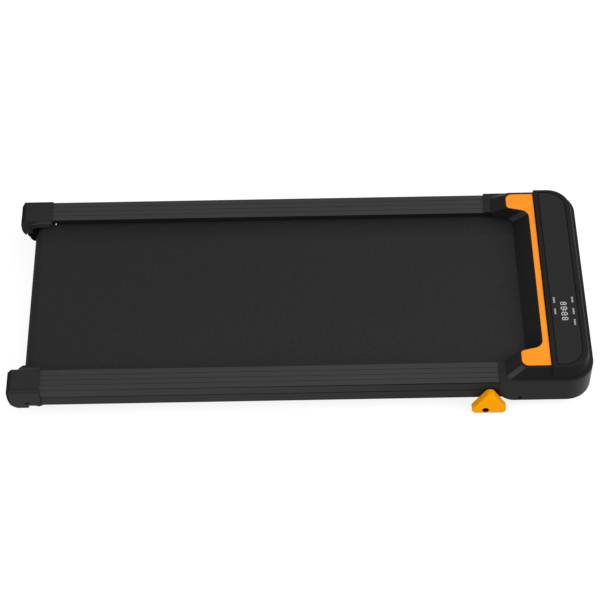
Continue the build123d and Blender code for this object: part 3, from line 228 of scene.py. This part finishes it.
class Shade:
    """A Principled material that is built up with procedural detail."""

    def __init__(self, name, colour, roughness, **sockets):
        self.material = bpy.data.materials.new(name)
        self.material.use_nodes = True
        self.tree = self.material.node_tree
        self.shader = self.tree.nodes["Principled BSDF"]
        self.shader.inputs["Roughness"].default_value = roughness
        self.colour = colour
        self.roughness = roughness
        self.place = self.node("ShaderNodeTexCoord").outputs["Object"]
        self.relief = None
        for socket, value in sockets.items():
            self.shader.inputs[socket.replace("_", " ")].default_value = value

    def node(self, kind, **settings):
        """New node with the given settings."""
        made = self.tree.nodes.new(kind)
        for key, value in settings.items():
            setattr(made, key, value)
        return made

    def link(self, source, target):
        """Join an output to an input."""
        self.tree.links.new(source, target)

    def stretched(self, scale):
        """Object coordinates scaled per axis."""
        mapping = self.node("ShaderNodeMapping")
        mapping.inputs["Scale"].default_value = scale
        self.link(self.place, mapping.inputs["Vector"])
        return mapping.outputs["Vector"]

    def noise(self, scale, detail=3.0, roughness=0.55):
        """Noise whose grain count per metre is given per axis."""
        made = self.node("ShaderNodeTexNoise")
        made.inputs["Scale"].default_value = 1.0
        made.inputs["Detail"].default_value = detail
        made.inputs["Roughness"].default_value = roughness
        self.link(self.stretched(scale), made.inputs["Vector"])
        return made.outputs["Fac"]

    def cells(self, scale, feature="F1"):
        """Voronoi distance whose cell count per metre is given per axis."""
        made = self.node("ShaderNodeTexVoronoi", feature=feature)
        made.inputs["Scale"].default_value = 1.0
        self.link(self.stretched(scale), made.inputs["Vector"])
        return made.outputs["Distance"]

    def waves(self, count, direction):
        """Sine bands along one axis, with the number of bands per metre."""
        made = self.node("ShaderNodeTexWave", bands_direction=direction, wave_profile="SIN")
        made.inputs["Scale"].default_value = count * WAVE_SCALE
        self.link(self.place, made.inputs["Vector"])
        return made.outputs["Fac"]

    def math(self, operation, a, b):
        """Math node on sockets or numbers."""
        made = self.node("ShaderNodeMath", operation=operation)
        for slot, value in enumerate((a, b)):
            if isinstance(value, (int, float)):
                made.inputs[slot].default_value = value
            else:
                self.link(value, made.inputs[slot])
        return made.outputs["Value"]

    def blend(self, first, second, share):
        """Mean of two values, weighted by the share of the first."""
        first_part = self.math("MULTIPLY", first, share)
        second_part = self.math("MULTIPLY", second, 1 - share)
        return self.math("ADD", first_part, second_part)

    def ranged(self, value, low, high, start=NOISE_START, stop=NOISE_STOP):
        """Go from low to high while the value goes from start to stop."""
        made = self.node("ShaderNodeMapRange")
        made.inputs["From Min"].default_value = start
        made.inputs["From Max"].default_value = stop
        made.inputs["To Min"].default_value = low
        made.inputs["To Max"].default_value = high
        self.link(value, made.inputs["Value"])
        return made.outputs["Result"]

    def tint(self, value, low, high, start=NOISE_START, stop=NOISE_STOP):
        """Scale the colour by a factor from low to high while the value goes from start to stop."""
        ramp = self.node("ShaderNodeValToRGB")
        for element, factor, position in zip(ramp.color_ramp.elements, (low, high), (start, stop)):
            element.position = position
            element.color = (*[min(1.0, c * factor) for c in self.colour], 1.0)
        self.link(value, ramp.inputs["Fac"])
        self.link(ramp.outputs["Color"], self.shader.inputs["Base Color"])

    def coordinate(self, axis):
        """One object coordinate."""
        parts = self.node("ShaderNodeSeparateXYZ")
        self.link(self.place, parts.inputs["Vector"])
        return parts.outputs[axis]

    def facing(self, axis):
        """One component of the surface's direction."""
        parts = self.node("ShaderNodeSeparateXYZ")
        self.link(self.node("ShaderNodeNewGeometry").outputs["Normal"], parts.inputs["Vector"])
        return parts.outputs[axis]

    def from_middle(self):
        """Distance from the middle plane of the machine."""
        return self.math("ABSOLUTE", self.coordinate("Y"), 0.0)

    def below(self, value, limit):
        """One where a value is below a limit."""
        return self.math("LESS_THAN", value, limit)

    def above(self, value, limit):
        """One where a value is above a limit."""
        return self.math("GREATER_THAN", value, limit)

    def between(self, value, limits):
        """One where a value lies between two limits."""
        return self.all_of(self.above(value, limits[0]), self.below(value, limits[1]))

    def all_of(self, *masks):
        """One where all masks are one."""
        result = masks[0]
        for mask in masks[1:]:
            result = self.math("MULTIPLY", result, mask)
        return result

    def square_reach(self, first, second):
        """Square of the distance with two components."""
        squares = [self.math("MULTIPLY", part, part) for part in (first, second)]
        return self.math("ADD", *squares)

    def sink(self, hole):
        """Paint shade inside a round hole that runs across the machine."""
        x, z, radius, face = hole
        along = self.math("SUBTRACT", self.coordinate("X"), x)
        up = self.math("SUBTRACT", self.coordinate("Z"), z)
        inside = self.below(self.square_reach(along, up), radius ** 2)
        self.dim(self.all_of(inside, self.below(self.from_middle(), face)), HOLE_SHADE_LEVEL)

    def dim(self, mask, level):
        """Paint light or shade: scale the colour to a level, a number or a socket, where the mask is one."""
        scaled = self.node("ShaderNodeVectorMath", operation="SCALE")
        change = self.math("MULTIPLY", mask, self.math("SUBTRACT", level, 1.0))
        self.link(self.shader.inputs["Base Color"].links[0].from_socket, scaled.inputs["Vector"])
        self.link(self.math("ADD", change, 1.0), scaled.inputs["Scale"])
        self.link(scaled.outputs["Vector"], self.shader.inputs["Base Color"])

    def dull(self, mask):
        """Take the shine away where the mask is one."""
        shine = self.shader.inputs["Specular IOR Level"]
        self.link(self.ranged(mask, shine.default_value, 0.0, 0.0, 1.0), shine)

    def rough(self, value, spread):
        """Vary the roughness around its mean."""
        result = self.ranged(value, self.roughness - spread, self.roughness + spread)
        self.link(result, self.shader.inputs["Roughness"])

    def bump(self, value, depth):
        """Add surface relief with a real depth in metres."""
        made = self.node("ShaderNodeBump")
        made.inputs["Strength"].default_value = 1.0
        made.inputs["Distance"].default_value = depth
        self.link(value, made.inputs["Height"])
        if self.relief is not None:
            self.link(self.relief, made.inputs["Normal"])
        self.relief = made.outputs["Normal"]
        self.link(self.relief, self.shader.inputs["Normal"])


def moulded(name, colour, roughness, grain, depth, **sockets):
    """Moulded plastic with a spark-eroded grain and slight handling marks."""
    return moulded_shade(name, colour, roughness, grain, depth, **sockets).material


def moulded_shade(name, colour, roughness, grain, depth, **sockets):
    """Shade of a moulded plastic, for materials that add to it."""
    shade = Shade(name, colour, roughness, **sockets)
    cloud = shade.noise(even(9), detail=4.0)
    fine = shade.noise(even(grain), detail=2.0)
    shade.tint(cloud, low=0.92, high=1.08)
    shade.rough(shade.blend(cloud, fine, share=0.5), spread=0.06)
    shade.bump(shade.cells(even(grain)), depth)
    shade.bump(fine, depth)
    return shade


def cap_plastic():
    """Moulded end cap with painted shade inside its arch and slot, on its canopy and rear slope and along
    its outer edges, painted light on its outer side and a painted highlight on its canopy's ridge.
    """
    shade = moulded_shade(
        "cap_plastic", grey(CAP_GREY), roughness=0.5, grain=1300, depth=0.00008, Specular_IOR_Level=0.03,
    )
    along = shade.coordinate("X")
    height = shade.coordinate("Z")
    across = shade.from_middle()
    behind = shade.math("MINIMUM", shade.math("SUBTRACT", along, ARCH_CENTRE_X), 0.0)
    over = shade.math("MAXIMUM", shade.math("SUBTRACT", height, ARCH_CENTRE_Z), 0.0)
    in_wall = shade.below(across, CAP_WALL_Y)
    in_arch = shade.all_of(shade.below(shade.square_reach(behind, over), ARCH_RADIUS ** 2), in_wall)
    looks_up = shade.above(shade.facing("Z"), CANOPY_FACING)
    on_canopy = shade.all_of(shade.below(across, CANOPY_EDGE_Y[0]), looks_up)
    on_ridge = shade.all_of(shade.between(across, CANOPY_EDGE_Y), shade.above(height, CANOPY_EDGE_Z))
    looks_back = shade.below(shade.facing("X"), CAP_REAR_FACING)
    on_rear = shade.all_of(shade.above(across, CAP_WALL_Y), looks_back)
    on_top = shade.above(height, CAP_TOP_Z)
    on_side = shade.above(across, CAP_SIDE_Y)
    in_slot = shade.all_of(
        shade.between(along, CAP_SLOT_X), shade.between(height, CAP_SLOT_Z),
        shade.between(across, (CAP_WALL_Y, CAP_SLOT_Y)),
    )
    # Painted shade inside the arch and slot, on the canopy, rear slope and outer edges; painted light on the
    # side and ridge
    shade.dim(in_arch, ARCH_SHADE_LEVEL)
    shade.dull(shade.math("MAXIMUM", in_arch, on_rear))
    shade.dim(on_canopy, CANOPY_SHADE_LEVEL)
    shade.dim(on_ridge, CANOPY_EDGE_HIGHLIGHT_LEVEL)
    shade.dim(on_rear, CAP_REAR_SHADE_LEVEL)
    shade.dim(on_side, CAP_SIDE_LIGHT_LEVEL)
    shade.dim(shade.all_of(on_top, shade.between(across, CAP_OUTER_EDGE_Y)), CAP_EDGE_SHADE_LEVEL)
    shade.dim(shade.all_of(on_side, shade.between(height, CAP_LOWER_EDGE_Z)), CAP_EDGE_SHADE_LEVEL)
    shade.dim(in_slot, HOLE_SHADE_LEVEL)
    return shade.material


def cover_plastic():
    """Moulded hood cover with painted shade on its upright sides and a painted highlight on the rounded
    corners of its slopes.
    """
    shade = moulded_shade(
        "hood_plastic", grey(COVER_GREY), roughness=0.4, grain=1400, depth=0.00005, Specular_IOR_Level=0.03,
    )
    back = shade.math("MULTIPLY", shade.facing("X"), -1.0)
    aside = shade.math("ABSOLUTE", shade.facing("Y"), 0.0)
    steepness = shade.square_reach(back, aside)
    turn = shade.math("DIVIDE", shade.math("MULTIPLY", back, aside), steepness)
    corner = shade.ranged(turn, 0.0, 1.0, CORNER_START, CORNER_STOP)
    # Painted highlight on the rounded corners between the slopes
    shade.dim(shade.all_of(corner, shade.above(steepness, CORNER_STEEPNESS)), CORNER_HIGHLIGHT_LEVEL)
    # Painted shade on the covers' upright outer sides
    upright = shade.all_of(shade.above(aside, UPRIGHT_FACING), shade.above(shade.from_middle(), UPRIGHT_Y))
    shade.dim(upright, UPRIGHT_SHADE_LEVEL)
    return shade.material


def skirt_plastic():
    """Moulded skirt of the hood with painted light on its flat top and painted shade in the holes of the
    wheel pins.
    """
    shade = moulded_shade(
        "hood_skirt", grey(SKIRT_GREY), roughness=0.36, grain=1400, depth=0.00005, Specular_IOR_Level=0.07,
    )
    # Painted light on the flat top
    shade.dim(shade.above(shade.facing("Z"), FLAT_FACING), SKIRT_TOP_LIGHT_LEVEL)
    # Painted shade in the holes of the wheel pins
    shade.sink(PIN_HOLE)
    return shade.material


def foot_plastic():
    """Moulded orange foot with painted shade in the hole of its bolt."""
    shade = moulded_shade(
        "foot_orange", FOOT_ORANGE, roughness=0.42, grain=1100, depth=0.00005, Specular_IOR_Level=0.02,
    )
    # Painted shade in the hole of the bolt
    shade.sink(BOLT_HOLE)
    return shade.material


def brushed(name, colour, roughness, grain, depth, **sockets):
    """Metal or coated metal with fine lines, their grain given per axis."""
    shade = Shade(name, colour, roughness, **sockets)
    lines = shade.noise(grain, detail=4.0, roughness=0.7)
    cloud = shade.noise(even(14))
    shade.tint(shade.blend(lines, cloud, share=0.6), low=0.88, high=1.12)
    shade.rough(lines, spread=0.08)
    shade.bump(lines, depth)
    return shade.material


def powder_coat(name, colour, roughness):
    """Powder-coated steel with slight orange peel."""
    shade = Shade(name, colour, roughness)
    peel = shade.noise(even(420), detail=2.0)
    cloud = shade.noise(even(11))
    shade.tint(cloud, low=0.9, high=1.1)
    shade.rough(peel, spread=0.07)
    shade.bump(peel, depth=0.00012)
    return shade.material


def belt_cover():
    """Walking belt: rows of small pressed lozenges in an even weave, shaded beside the left rail."""
    shade = Shade("belt_rubber", grey(BELT_GREY), roughness=0.62, Specular_IOR_Level=0.03)
    rows = shade.waves(420, "Y")
    lines = shade.waves(300, "X")
    lozenges = shade.math("MULTIPLY", rows, lines)
    cloud = shade.noise((5, 9, 9), detail=5.0)
    speck = shade.noise(even(900), detail=2.0)
    weave = shade.noise((330, 240, 240), detail=1.0)
    shade.tint(shade.blend(cloud, weave, share=0.2), low=0.84, high=1.16)
    shade.dim(shade.ranged(shade.coordinate("Y"), 0.0, 1.0, *BELT_SHADE_Y), BELT_SHADE_LEVEL)
    shade.rough(cloud, spread=0.07)
    shade.bump(lozenges, depth=0.00035)
    shade.bump(speck, depth=0.0001)
    return shade.material


def rail_metal():
    """Black anodised rail extrusion with fine drawing lines along its length and painted shade on its sides.
    """
    shade = Shade("rail_black", grey(RAIL_GREY), roughness=0.42, Specular_IOR_Level=0.05)
    lines = shade.noise((2.5, 700, 700), detail=3.0, roughness=0.6)
    cloud = shade.noise((4, 12, 12), detail=3.0)
    shade.tint(shade.blend(lines, cloud, share=0.5), low=0.9, high=1.1)
    height = shade.coordinate("Z")
    across = shade.from_middle()
    under_edge = shade.below(height, RAIL_EDGE_Z)
    on_side = shade.all_of(shade.above(across, RAIL_SIDE_Y), under_edge)
    on_band = shade.all_of(on_side, shade.below(height, RAIL_BAND_Z))
    # Painted shade on the outer side, its lower band and its joint lines, changing from the rear to the
    # front end
    zones = [(on_side, RAIL_SIDE_SHADE_LEVELS), (on_band, RAIL_BAND_SHADE_LEVELS)]
    for z, levels in RAIL_LINE_SHADE_LEVELS.items():
        line = shade.between(height, (z - RAIL_LINE_HALF, z + RAIL_LINE_HALF))
        zones.append((shade.all_of(on_side, line), levels))
    for zone, levels in zones:
        shade.dim(zone, shade.ranged(shade.coordinate("X"), *levels, *RAIL_ENDS_X))
    # Painted shade on the inner wall
    on_inner_wall = shade.all_of(shade.below(across, RAIL_INNER_Y), under_edge)
    shade.dim(on_inner_wall, RAIL_INNER_SHADE_LEVEL)
    shade.rough(lines, spread=0.06)
    shade.bump(lines, depth=0.00006)
    return shade.material


def rubber(name, level, grain):
    """Dull rubber with a fine moulded grain."""
    shade = Shade(name, grey(level), roughness=0.78, Specular_IOR_Level=0.05)
    dust = shade.noise(even(60), detail=4.0)
    shade.tint(dust, low=0.85, high=1.25)
    shade.rough(dust, spread=0.08)
    shade.bump(shade.noise(even(grain), detail=2.0), depth=0.00015)
    return shade.material


def ribbed_rubber():
    """Drive belt with ribs round its loop."""
    shade = Shade("drive_rubber", grey(DRIVE_BELT_GREY), roughness=0.7)
    shade.tint(shade.noise(even(200)), low=0.8, high=1.2)
    shade.rough(shade.noise(even(90)), spread=0.08)
    shade.bump(shade.waves(620, "Y"), depth=0.0005)
    return shade.material


def fibreboard():
    """Black faced and waxed fibreboard deck with pressed fibres."""
    shade = Shade("deck_wood", grey(DECK_GREY), roughness=0.55, Specular_IOR_Level=0.2)
    fibre = shade.noise((90, 900, 900), detail=6.0, roughness=0.7)
    shade.tint(fibre, low=0.7, high=1.25)
    shade.rough(fibre, spread=0.1)
    shade.bump(fibre, depth=0.0001)
    return shade.material


def circuit_board():
    """Green solder mask, lighter along the tracks under it."""
    shade = Shade("circuit_board", BOARD_GREEN, roughness=0.35)
    tracks = shade.cells(even(160), feature="DISTANCE_TO_EDGE")
    shade.tint(tracks, low=1.9, high=0.8, start=0.02, stop=0.08)
    shade.rough(shade.noise(even(300)), spread=0.08)
    shade.bump(tracks, depth=0.00005)
    return shade.material


def cast_metal(name, colour):
    """Cast aluminium with a sandy skin."""
    shade = Shade(name, colour, roughness=0.45, Metallic=1.0)
    sand = shade.noise(even(700), detail=3.0)
    shade.tint(shade.noise(even(40), detail=4.0), low=0.8, high=1.1)
    shade.rough(sand, spread=0.1)
    shade.bump(sand, depth=0.0002)
    return shade.material


def lit_print(name, colour, glow):
    """Backlit print of the display."""
    shade = Shade(name, colour, roughness=0.5, Emission_Color=(*colour, 1.0), Emission_Strength=glow)
    shade.tint(shade.noise(even(500)), low=0.9, high=1.05)
    return shade.material


def assign(material, *names):
    """Give CAD nodes one material."""
    for name in names:
        data = nodes[name].data
        data.materials.clear()
        data.materials.append(material)


def pair(name):
    """Names of a left and right node."""
    return name + "_left", name + "_right"


def dress_plastics():
    """Materials of the moulded pieces."""
    assign(cover_plastic(), "hood_rear_cover", "hood_front_cover")
    assign(skirt_plastic(), "hood_base")
    assign(cap_plastic(), *pair("end_cap"))
    assign(foot_plastic(), *pair("incline_foot"))
    gloss = moulded(
        "console_gloss", grey(CONSOLE_GREY), roughness=0.34, grain=2400, depth=0.00001,
        Specular_IOR_Level=0.16,
    )
    assign(gloss, "console_panel")
    pan = moulded("pan_plastic", grey(PAN_GREY), roughness=0.55, grain=900, depth=0.0001)
    assign(pan, "bottom_pan", "power_inlet", "power_switch_frame")
    trim = moulded(
        "trim_orange", TRIM_ORANGE, roughness=0.4, grain=2200, depth=0.00002, Specular_IOR_Level=0.1,
    )
    assign(trim, "hood_trim")
    rocker = moulded("rocker_gloss", ROCKER_RED, roughness=0.22, grain=1500, depth=0.00001, Coat_Weight=0.4)
    assign(rocker, "power_rocker")
    pulley = moulded("pulley_plastic", grey(PULLEY_GREY), roughness=0.45, grain=1200, depth=0.00005)
    assign(pulley, "front_roller_pulley")
    nylon = moulded("standoff_nylon", grey(NYLON_GREY), roughness=0.4, grain=1500, depth=0.00002)
    assign(nylon, "board_standoffs", "control_capacitors")


def dress_metals():
    """Materials of the metal pieces."""
    assign(rail_metal(), *pair("side_rail"))
    paint = powder_coat("frame_paint", grey(PAINT_GREY), roughness=0.45)
    assign(
        paint, "frame_cross_members", "motor_plate", "motor_saddles", "motor_can",
        *pair("frame_side_tube"), *pair("rear_axle_bracket"), *pair("front_axle_bracket"),
        *pair("incline_bracket"),
    )
    zinc = brushed("bright_steel", ZINC_STEEL, roughness=0.33, grain=even(500), depth=0.00003, Metallic=1.0)
    assign(
        zinc, "front_axle", "rear_axle", "front_roller_bearings", "rear_roller_bearings", "motor_bearings",
        "motor_shaft", "end_cap_screws", "deck_screws", "pan_screws", "motor_bolts", *pair("tension_bolt"),
    )
    blacked = brushed(
        "black_steel", grey(BLACK_STEEL_GREY), roughness=0.4, grain=even(500), depth=0.00003,
        Specular_IOR_Level=0.05,
    )
    assign(blacked, "wheel_pins", "incline_pivot_bolts", "incline_pivot_nuts")
    turned = brushed(
        "roller_steel", TURNED_STEEL, roughness=0.38, grain=(60, 1200, 60), depth=0.00004, Metallic=1.0,
    )
    assign(turned, "front_roller", "rear_roller")
    cast = cast_metal("cast_aluminium", CAST_ALUMINIUM)
    assign(cast, "motor_end_bells", "control_heatsink", "motor_pulley")
    brass = brushed(
        "inlet_brass", PIN_BRASS, roughness=0.3, grain=(900, 300, 300), depth=0.00002, Metallic=1.0,
    )
    assign(brass, "inlet_pins")


def dress_others():
    """Materials of the belts, rubber pieces, deck and boards."""
    assign(belt_cover(), "walking_belt")
    soft = rubber("soft_rubber", RUBBER_GREY, grain=900)
    assign(soft, "rear_feet", "deck_cushions", *pair("transport_wheel"))
    assign(ribbed_rubber(), "drive_belt")
    assign(fibreboard(), "deck_board")
    assign(circuit_board(), "control_board", "display_board")


def soften_edges():
    """Small rounds on the hard edges of the moulded pieces."""
    for name, width in EDGE_WIDTHS.items():
        bevel = nodes[name].modifiers.new("soft_edges", "BEVEL")
        bevel.width = width
        bevel.segments = EDGE_SEGMENTS
        bevel.limit_method = "ANGLE"
        bevel.angle_limit = EDGE_ANGLE
        bevel.use_clamp_overlap = True


def taper_canopies():
    """Draw the thin lower end of each end cap's canopy back into the cap's wall."""
    for name, side in zip(pair("end_cap"), (1, -1)):
        cap = nodes[name]
        horn = cap.vertex_groups.new(name="canopy_end")
        for vertex in cap.data.vertices:
            x, y, z = vertex.co
            if x < CANOPY_HORN_X and z < CANOPY_HORN_Z and abs(y) < CAP_WALL_Y:
                horn.add([vertex.index], 1.0, "REPLACE")
        taper = cap.modifiers.new("taper", "DISPLACE")
        taper.vertex_group = horn.name
        taper.direction = "Y"
        taper.mid_level = 0.0
        taper.strength = side * CANOPY_REACH


def panel_top():
    """Height of the console panel's top."""
    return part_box("console_panel")[1].z


def plate_mesh(name, outlines, z0, thickness, material, body):
    """One piece made of thin plates with the given plan outlines."""
    mesh = bpy.data.meshes.new(name)
    bm = bmesh.new()
    for points in outlines:
        low = [bm.verts.new((x, y, z0)) for x, y in points]
        high = [bm.verts.new((x, y, z0 + thickness)) for x, y in points]
        bm.faces.new(high)
        bm.faces.new(low[::-1])
        for i in range(len(points)):
            j = (i + 1) % len(points)
            bm.faces.new((low[i], low[j], high[j], high[i]))
    bmesh.ops.recalc_face_normals(bm, faces=bm.faces)
    bm.to_mesh(mesh)
    bm.free()
    piece = bpy.data.objects.new(name, mesh)
    bpy.context.scene.collection.objects.link(piece)
    mesh.materials.append(material)
    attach(piece, body)
    return piece


def bar(x0, x1, y0, y1):
    """Plan outline of a rectangle."""
    return [(x0, y0), (x1, y0), (x1, y1), (x0, y1)]


def segment(first, last, half):
    """Plan outline of one six-sided display segment between two points."""
    along = (Vector(last) - Vector(first)).normalized()
    side = Vector((-along.y, along.x)) * half
    start = Vector(first) + along * DIGIT_JOIN_GAP
    stop = Vector(last) - along * DIGIT_JOIN_GAP
    tip = along * half
    corners = (start, start + tip + side, stop - tip + side, stop, stop - tip - side, start + tip - side)
    return [tuple(corner) for corner in corners]


def digit_outlines(x, y):
    """The seven segments of an eight, tops towards +X."""
    half = DIGIT_STROKE / 2
    up = DIGIT_HEIGHT / 2 - half
    out = DIGIT_WIDTH / 2 - half
    outlines = [segment((x + rise, y - out), (x + rise, y + out), half) for rise in (-up, 0.0, up)]
    for side in (-out, out):
        outlines.append(segment((x - up, y + side), (x, y + side), half))
        outlines.append(segment((x, y + side), (x + up, y + side), half))
    return outlines


def colon_outlines():
    """The two square dots between the digits."""
    dot = COLON_DOT / 2
    places = (DIGIT_X - COLON_RISE, DIGIT_X + COLON_RISE)
    return [bar(x - dot, x + dot, COLON_Y - dot, COLON_Y + dot) for x in places]


def mark_outlines(x, y):
    """One plain mark of short ticks in a row."""
    tick = (MARK_LENGTH - MARK_TICK_GAP * (MARK_TICKS - 1)) / MARK_TICKS
    starts = [y - MARK_LENGTH / 2 + i * (tick + MARK_TICK_GAP) for i in range(MARK_TICKS)]
    return [bar(x - MARK_HEIGHT / 2, x + MARK_HEIGHT / 2, y0, y0 + tick) for y0 in starts]


def display():
    """Lit digits, colon and the plain marks beside them, on the console panel."""
    z0 = panel_top()
    white = lit_print("display_digits", DIGIT_WHITE, DIGIT_GLOW)
    pale = lit_print("display_marks", MARK_WHITE, MARK_GLOW)
    digits = [points for y in DIGIT_Y for points in digit_outlines(DIGIT_X, y)]
    digits += colon_outlines()
    marks = []
    for x, places in MARK_COLUMNS.items():
        for y in places:
            marks += mark_outlines(x, y)
    plate_mesh("display_digits", digits, z0, PRINT_THICKNESS, white, "chassis")
    plate_mesh("display_marks", marks, z0, PRINT_THICKNESS, pale, "chassis")


def floor_paint():
    """Plain pale paint for light that bounces, and a nearly white glow for what the camera is shown."""
    material = bpy.data.materials.new("floor")
    material.use_nodes = True
    tree = material.node_tree
    tree.nodes.clear()
    links = tree.links
    output = tree.nodes.new("ShaderNodeOutputMaterial")
    paths = tree.nodes.new("ShaderNodeLightPath")
    plain = tree.nodes.new("ShaderNodeBsdfDiffuse")
    plain.inputs["Color"].default_value = (FLOOR_COLOUR,) * 3 + (1,)
    shown = tree.nodes.new("ShaderNodeBsdfDiffuse")
    shown.inputs["Color"].default_value = (FLOOR_SHOWN_DIFFUSE,) * 3 + (1,)
    glow = tree.nodes.new("ShaderNodeEmission")
    glow.inputs["Strength"].default_value = FLOOR_SHOWN_GLOW
    glowing = tree.nodes.new("ShaderNodeAddShader")
    links.new(shown.outputs[0], glowing.inputs[0])
    links.new(glow.outputs[0], glowing.inputs[1])
    seen = paths.outputs["Is Camera Ray"]
    for ray in ("Is Glossy Ray", "Is Transmission Ray"):
        most = tree.nodes.new("ShaderNodeMath")
        most.operation = "MAXIMUM"
        links.new(seen, most.inputs[0])
        links.new(paths.outputs[ray], most.inputs[1])
        seen = most.outputs["Value"]
    mix = tree.nodes.new("ShaderNodeMixShader")
    links.new(seen, mix.inputs["Fac"])
    links.new(plain.outputs[0], mix.inputs[1])
    links.new(glowing.outputs[0], mix.inputs[2])
    links.new(mix.outputs[0], output.inputs["Surface"])
    return material


def floor():
    """Wide floor that takes the shadow."""
    mesh = bpy.data.meshes.new("floor")
    half = FLOOR_SIZE / 2
    corners = bar(-half, half, -half, half)
    mesh.from_pydata([(x, y, -FLOOR_DROP) for x, y in corners], [], [(0, 1, 2, 3)])
    ground = bpy.data.objects.new("floor", mesh)
    bpy.context.scene.collection.objects.link(ground)
    mesh.materials.append(floor_paint())


def sky():
    """White sky that darkens away from its lean."""
    world = bpy.data.worlds.new("studio")
    world.use_nodes = True
    tree = world.node_tree
    direction = tree.nodes.new("ShaderNodeTexCoord").outputs["Generated"]
    height = tree.nodes.new("ShaderNodeVectorMath")
    height.operation = "DOT_PRODUCT"
    height.inputs[1].default_value = SKY_LEAN
    level = tree.nodes.new("ShaderNodeMapRange")
    level.inputs["To Min"].default_value = HORIZON_LEVEL
    level.inputs["To Max"].default_value = ZENITH_LEVEL
    tree.links.new(direction, height.inputs[0])
    tree.links.new(height.outputs["Value"], level.inputs["Value"])
    tree.links.new(level.outputs["Result"], tree.nodes["Background"].inputs["Strength"])
    tree.nodes["Background"].inputs["Color"].default_value = (1, 1, 1, 1)
    bpy.context.scene.world = world


def area_light(name, place, aim, size, power):
    """Square soft box that looks at a point."""
    lamp = bpy.data.lights.new(name, "AREA")
    lamp.shape = "SQUARE"
    lamp.size = size
    lamp.energy = power
    light = bpy.data.objects.new(name, lamp)
    light.location = place
    light.rotation_mode = "QUATERNION"
    light.rotation_quaternion = (Vector(aim) - Vector(place)).to_track_quat("-Z", "Y")
    bpy.context.scene.collection.objects.link(light)


def lights():
    """Soft studio light: the sky, a key beyond the hood and two weak fills."""
    sky()
    for name, lamp in LAMPS.items():
        area_light(name, **lamp)


def camera():
    """Camera at the photograph's place."""
    azimuth = math.radians(CAMERA_AZIMUTH)
    elevation = math.radians(CAMERA_ELEVATION)
    roll = math.radians(CAMERA_ROLL)
    back = Vector((
        math.sin(azimuth) * math.cos(elevation),
        -math.cos(azimuth) * math.cos(elevation),
        math.sin(elevation),
    ))
    right = Vector((math.cos(azimuth), math.sin(azimuth), 0))
    up = back.cross(right)
    turned_right = right * math.cos(roll) - up * math.sin(roll)
    turned_up = right * math.sin(roll) + up * math.cos(roll)
    place = CAMERA_AIM + turned_right * CAMERA_SIDE + turned_up * CAMERA_RISE + back * CAMERA_DISTANCE
    data = bpy.data.cameras.new("camera")
    data.lens = CAMERA_LENS
    data.sensor_width = SENSOR_WIDTH
    data.sensor_fit = "HORIZONTAL"
    view = bpy.data.objects.new("camera", data)
    matrix = Matrix((turned_right, turned_up, back)).transposed().to_4x4()
    matrix.translation = place
    view.matrix_world = matrix
    bpy.context.scene.collection.objects.link(view)
    bpy.context.scene.camera = view


camera()
lights()
floor()
dress_plastics()
dress_metals()
dress_others()
taper_canopies()
soften_edges()
display()

bpy.context.scene.view_settings.view_transform = "Standard"
